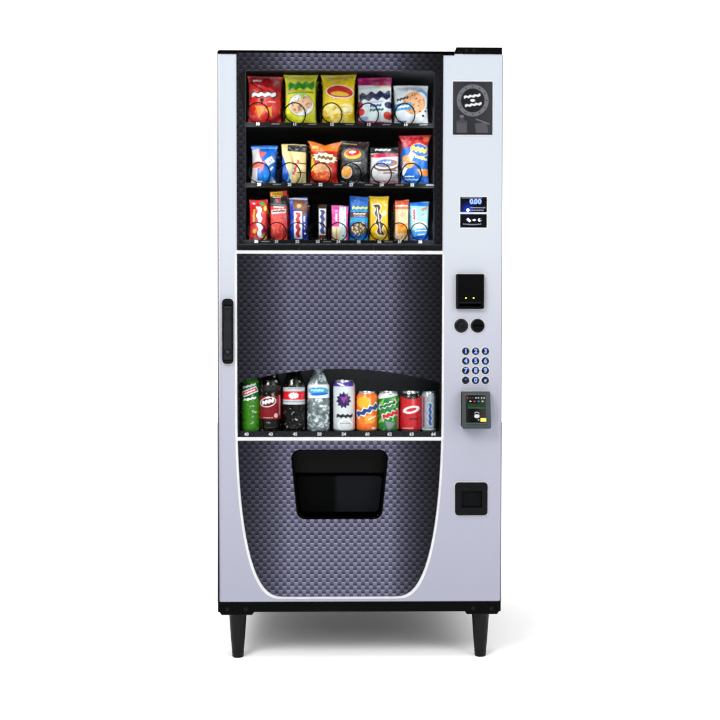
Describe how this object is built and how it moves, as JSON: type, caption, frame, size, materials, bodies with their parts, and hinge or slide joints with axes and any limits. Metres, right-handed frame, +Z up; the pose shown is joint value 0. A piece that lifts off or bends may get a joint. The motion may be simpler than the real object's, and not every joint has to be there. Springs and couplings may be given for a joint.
{
  "type": "snack and drink vending machine",
  "caption": "Upright snack and drink vending machine with a hinged glazed door, coil trays, a drinks display, keypad, payment devices and a delivery flap on tapered legs.",
  "frame": {"origin": "centre of the whole machine's footprint, on the floor under its feet", "axes": "+Z up, -Y out of the machine's front, +X to the right of a person facing the front"},
  "size_m": [0.852, 0.9298, 1.8386],
  "materials": {
    "cabinet_paint": "fine textured black powder coat",
    "base_paint": "black powder coat",
    "leg_paint": "satin black enamel",
    "hinge_paint": "black enamel over steel",
    "door_paint": "light silver-lavender satin paint",
    "panel_print": "two-tone woven check print under a semi-gloss film",
    "clear_pane": "clear pane",
    "shelf_plastic": "matte black moulding",
    "chute_plastic": "leather-grain black moulding",
    "bin_plastic": "matte black sheet",
    "tray_paint": "satin black powder coat",
    "coil_wire": "black coated spring wire",
    "machinery_steel": "galvanised and painted machinery",
    "handle_plastic": "fine-grain black moulding",
    "screen": "smoked display window",
    "validator_plastic": "satin black moulding",
    "coin_plastic": "polished black moulding",
    "key_plastic": "navy backlit key",
    "reader_plastic": "grey-green moulding",
    "cup_plastic": "satin black moulding",
    "panel_trim": "bright white line",
    "label_strip": "black strip with white numbers",
    "gasket_rubber": "ribbed door gasket",
    "fastener_steel": "zinc-plated fastener",
    "lamp": "lit display element",
    "snack_film": "printed snack film",
    "bottle_plastic": "drink bottle",
    "can_metal": "printed drink can",
    "poster_plate": "dark printed plate",
    "liner": "dark grey cabinet liner"
  },
  "bodies": {
    "root": {"insulated_cabinet": "cabinet_paint", "base_frame": "base_paint", "leg_front_left": "leg_paint", "leg_front_right": "leg_paint", "leg_rear_left": "leg_paint", "leg_rear_right": "leg_paint", "top_hinge_bracket": "hinge_paint", "refrigeration_unit": "machinery_steel", "delivery_bin": "bin_plastic", "drink_rack": "tray_paint"},
    "door": {"door_frame": "door_paint", "window_glass": "clear_pane", "front_panel": "panel_print", "display_window": "clear_pane", "display_shelf": "shelf_plastic", "handle_housing": "handle_plastic", "selection_display": "screen", "bill_validator": "validator_plastic", "coin_mechanism": "coin_plastic", "card_reader": "reader_plastic", "coin_cup": "cup_plastic"},
    "lever": {"handle_lever": "handle_plastic"},
    "chute_flap": {"delivery_flap": "chute_plastic"},
    "cup_flap": {"coin_cup_flap": "cup_plastic"},
    "return_button": {"coin_return_button": "coin_plastic"},
    "button_1": {"key_1": "key_plastic"},
    "button_2": {"key_2": "key_plastic"},
    "button_3": {"key_3": "key_plastic"},
    "button_4": {"key_4": "key_plastic"},
    "button_5": {"key_5": "key_plastic"},
    "button_6": {"key_6": "key_plastic"},
    "button_7": {"key_7": "key_plastic"},
    "button_8": {"key_8": "key_plastic"},
    "button_9": {"key_9": "key_plastic"},
    "button_star": {"key_star": "key_plastic"},
    "button_0": {"key_0": "key_plastic"},
    "button_hash": {"key_hash": "key_plastic"},
    "tray_1": {"snack_tray_1": "tray_paint"},
    "tray_2": {"snack_tray_2": "tray_paint"},
    "tray_3": {"snack_tray_3": "tray_paint"},
    "coil_10": {"spiral_10": "coil_wire"},
    "coil_11": {"spiral_11": "coil_wire"},
    "coil_12": {"spiral_12": "coil_wire"},
    "coil_13": {"spiral_13": "coil_wire"},
    "coil_14": {"spiral_14": "coil_wire"},
    "coil_20": {"spiral_20": "coil_wire"},
    "coil_21": {"spiral_21": "coil_wire"},
    "coil_22": {"spiral_22": "coil_wire"},
    "coil_23": {"spiral_23": "coil_wire"},
    "coil_24": {"spiral_24": "coil_wire"},
    "coil_25": {"spiral_25": "coil_wire"},
    "coil_30": {"spiral_30": "coil_wire"},
    "coil_31": {"spiral_31": "coil_wire"},
    "coil_32": {"spiral_32": "coil_wire"},
    "coil_33": {"spiral_33": "coil_wire"},
    "coil_34": {"spiral_34": "coil_wire"},
    "coil_35": {"spiral_35": "coil_wire"},
    "coil_36": {"spiral_36": "coil_wire"},
    "coil_37": {"spiral_37": "coil_wire"},
    "coil_38": {"spiral_38": "coil_wire"}
  },
  "joints": [
    {"name": "door_swing", "type": "hinge", "parent": "root", "child": "door", "pos_m": [0.405, -0.385, 1], "axis": [0, 0, 1], "range_deg": [0, 115]},
    {"name": "handle_lift", "type": "hinge", "parent": "door", "child": "lever", "pos_m": [-0.395, -0.4125, 1.06], "axis": [-1, 0, 0], "range_deg": [0, 45]},
    {"name": "chute_flap_swing", "type": "hinge", "parent": "door", "child": "chute_flap", "pos_m": [-0.061, -0.362, 0.549], "axis": [1, 0, 0], "range_deg": [0, 65]},
    {"name": "cup_flap_swing", "type": "hinge", "parent": "door", "child": "cup_flap", "pos_m": [0.3358, -0.402, 0.509], "axis": [1, 0, 0], "range_deg": [0, 60]},
    {"name": "coin_return_press", "type": "slide", "parent": "door", "child": "return_button", "axis": [0, 1, 0], "range_m": [0, 0.005], "stiffness_N_per_m": 300},
    {"name": "key_1_press", "type": "slide", "parent": "door", "child": "button_1", "axis": [0, 1, 0], "range_m": [0, 0.002], "stiffness_N_per_m": 400},
    {"name": "key_2_press", "type": "slide", "parent": "door", "child": "button_2", "axis": [0, 1, 0], "range_m": [0, 0.002], "stiffness_N_per_m": 400},
    {"name": "key_3_press", "type": "slide", "parent": "door", "child": "button_3", "axis": [0, 1, 0], "range_m": [0, 0.002], "stiffness_N_per_m": 400},
    {"name": "key_4_press", "type": "slide", "parent": "door", "child": "button_4", "axis": [0, 1, 0], "range_m": [0, 0.002], "stiffness_N_per_m": 400},
    {"name": "key_5_press", "type": "slide", "parent": "door", "child": "button_5", "axis": [0, 1, 0], "range_m": [0, 0.002], "stiffness_N_per_m": 400},
    {"name": "key_6_press", "type": "slide", "parent": "door", "child": "button_6", "axis": [0, 1, 0], "range_m": [0, 0.002], "stiffness_N_per_m": 400},
    {"name": "key_7_press", "type": "slide", "parent": "door", "child": "button_7", "axis": [0, 1, 0], "range_m": [0, 0.002], "stiffness_N_per_m": 400},
    {"name": "key_8_press", "type": "slide", "parent": "door", "child": "button_8", "axis": [0, 1, 0], "range_m": [0, 0.002], "stiffness_N_per_m": 400},
    {"name": "key_9_press", "type": "slide", "parent": "door", "child": "button_9", "axis": [0, 1, 0], "range_m": [0, 0.002], "stiffness_N_per_m": 400},
    {"name": "key_star_press", "type": "slide", "parent": "door", "child": "button_star", "axis": [0, 1, 0], "range_m": [0, 0.002], "stiffness_N_per_m": 400},
    {"name": "key_0_press", "type": "slide", "parent": "door", "child": "button_0", "axis": [0, 1, 0], "range_m": [0, 0.002], "stiffness_N_per_m": 400},
    {"name": "key_hash_press", "type": "slide", "parent": "door", "child": "button_hash", "axis": [0, 1, 0], "range_m": [0, 0.002], "stiffness_N_per_m": 400},
    {"name": "tray_1_slide", "type": "slide", "parent": "root", "child": "tray_1", "axis": [0, -1, 0], "range_m": [0, 0.3215]},
    {"name": "tray_2_slide", "type": "slide", "parent": "root", "child": "tray_2", "axis": [0, -1, 0], "range_m": [0, 0.3215]},
    {"name": "tray_3_slide", "type": "slide", "parent": "root", "child": "tray_3", "axis": [0, -1, 0], "range_m": [0, 0.3215]},
    {"name": "spiral_10_turn", "type": "hinge", "parent": "tray_1", "child": "coil_10", "pos_m": [-0.3138, 0, 1.6684], "axis": [0, -1, 0], "continuous": true},
    {"name": "spiral_11_turn", "type": "hinge", "parent": "tray_1", "child": "coil_11", "pos_m": [-0.1998, 0, 1.6684], "axis": [0, -1, 0], "continuous": true},
    {"name": "spiral_12_turn", "type": "hinge", "parent": "tray_1", "child": "coil_12", "pos_m": [-0.0858, 0, 1.6684], "axis": [0, -1, 0], "continuous": true},
    {"name": "spiral_13_turn", "type": "hinge", "parent": "tray_1", "child": "coil_13", "pos_m": [0.0282, 0, 1.6684], "axis": [0, -1, 0], "continuous": true},
    {"name": "spiral_14_turn", "type": "hinge", "parent": "tray_1", "child": "coil_14", "pos_m": [0.1422, 0, 1.6684], "axis": [0, -1, 0], "continuous": true},
    {"name": "spiral_20_turn", "type": "hinge", "parent": "tray_2", "child": "coil_20", "pos_m": [-0.3098, 0, 1.4829], "axis": [0, -1, 0], "continuous": true},
    {"name": "spiral_21_turn", "type": "hinge", "parent": "tray_2", "child": "coil_21", "pos_m": [-0.2152, 0, 1.4829], "axis": [0, -1, 0], "continuous": true},
    {"name": "spiral_22_turn", "type": "hinge", "parent": "tray_2", "child": "coil_22", "pos_m": [-0.1206, 0, 1.4829], "axis": [0, -1, 0], "continuous": true},
    {"name": "spiral_23_turn", "type": "hinge", "parent": "tray_2", "child": "coil_23", "pos_m": [-0.026, 0, 1.4829], "axis": [0, -1, 0], "continuous": true},
    {"name": "spiral_24_turn", "type": "hinge", "parent": "tray_2", "child": "coil_24", "pos_m": [0.0686, 0, 1.4829], "axis": [0, -1, 0], "continuous": true},
    {"name": "spiral_25_turn", "type": "hinge", "parent": "tray_2", "child": "coil_25", "pos_m": [0.1632, 0, 1.4829], "axis": [0, -1, 0], "continuous": true},
    {"name": "spiral_30_turn", "type": "hinge", "parent": "tray_3", "child": "coil_30", "pos_m": [-0.3187, 0, 1.3025], "axis": [0, -1, 0], "continuous": true},
    {"name": "spiral_31_turn", "type": "hinge", "parent": "tray_3", "child": "coil_31", "pos_m": [-0.2554, 0, 1.3025], "axis": [0, -1, 0], "continuous": true},
    {"name": "spiral_32_turn", "type": "hinge", "parent": "tray_3", "child": "coil_32", "pos_m": [-0.1921, 0, 1.3025], "axis": [0, -1, 0], "continuous": true},
    {"name": "spiral_33_turn", "type": "hinge", "parent": "tray_3", "child": "coil_33", "pos_m": [-0.1288, 0, 1.3025], "axis": [0, -1, 0], "continuous": true},
    {"name": "spiral_34_turn", "type": "hinge", "parent": "tray_3", "child": "coil_34", "pos_m": [-0.0655, 0, 1.3025], "axis": [0, -1, 0], "continuous": true},
    {"name": "spiral_35_turn", "type": "hinge", "parent": "tray_3", "child": "coil_35", "pos_m": [-0.0022, 0, 1.3025], "axis": [0, -1, 0], "continuous": true},
    {"name": "spiral_36_turn", "type": "hinge", "parent": "tray_3", "child": "coil_36", "pos_m": [0.0611, 0, 1.3025], "axis": [0, -1, 0], "continuous": true},
    {"name": "spiral_37_turn", "type": "hinge", "parent": "tray_3", "child": "coil_37", "pos_m": [0.1244, 0, 1.3025], "axis": [0, -1, 0], "continuous": true},
    {"name": "spiral_38_turn", "type": "hinge", "parent": "tray_3", "child": "coil_38", "pos_m": [0.1877, 0, 1.3025], "axis": [0, -1, 0], "continuous": true}
  ],
  "couplings": [
    {"joint": "tray_1_slide", "follows": "door_swing", "m_per_rad": 0.16},
    {"joint": "tray_2_slide", "follows": "door_swing", "m_per_rad": 0.16},
    {"joint": "tray_3_slide", "follows": "door_swing", "m_per_rad": 0.16}
  ]
}
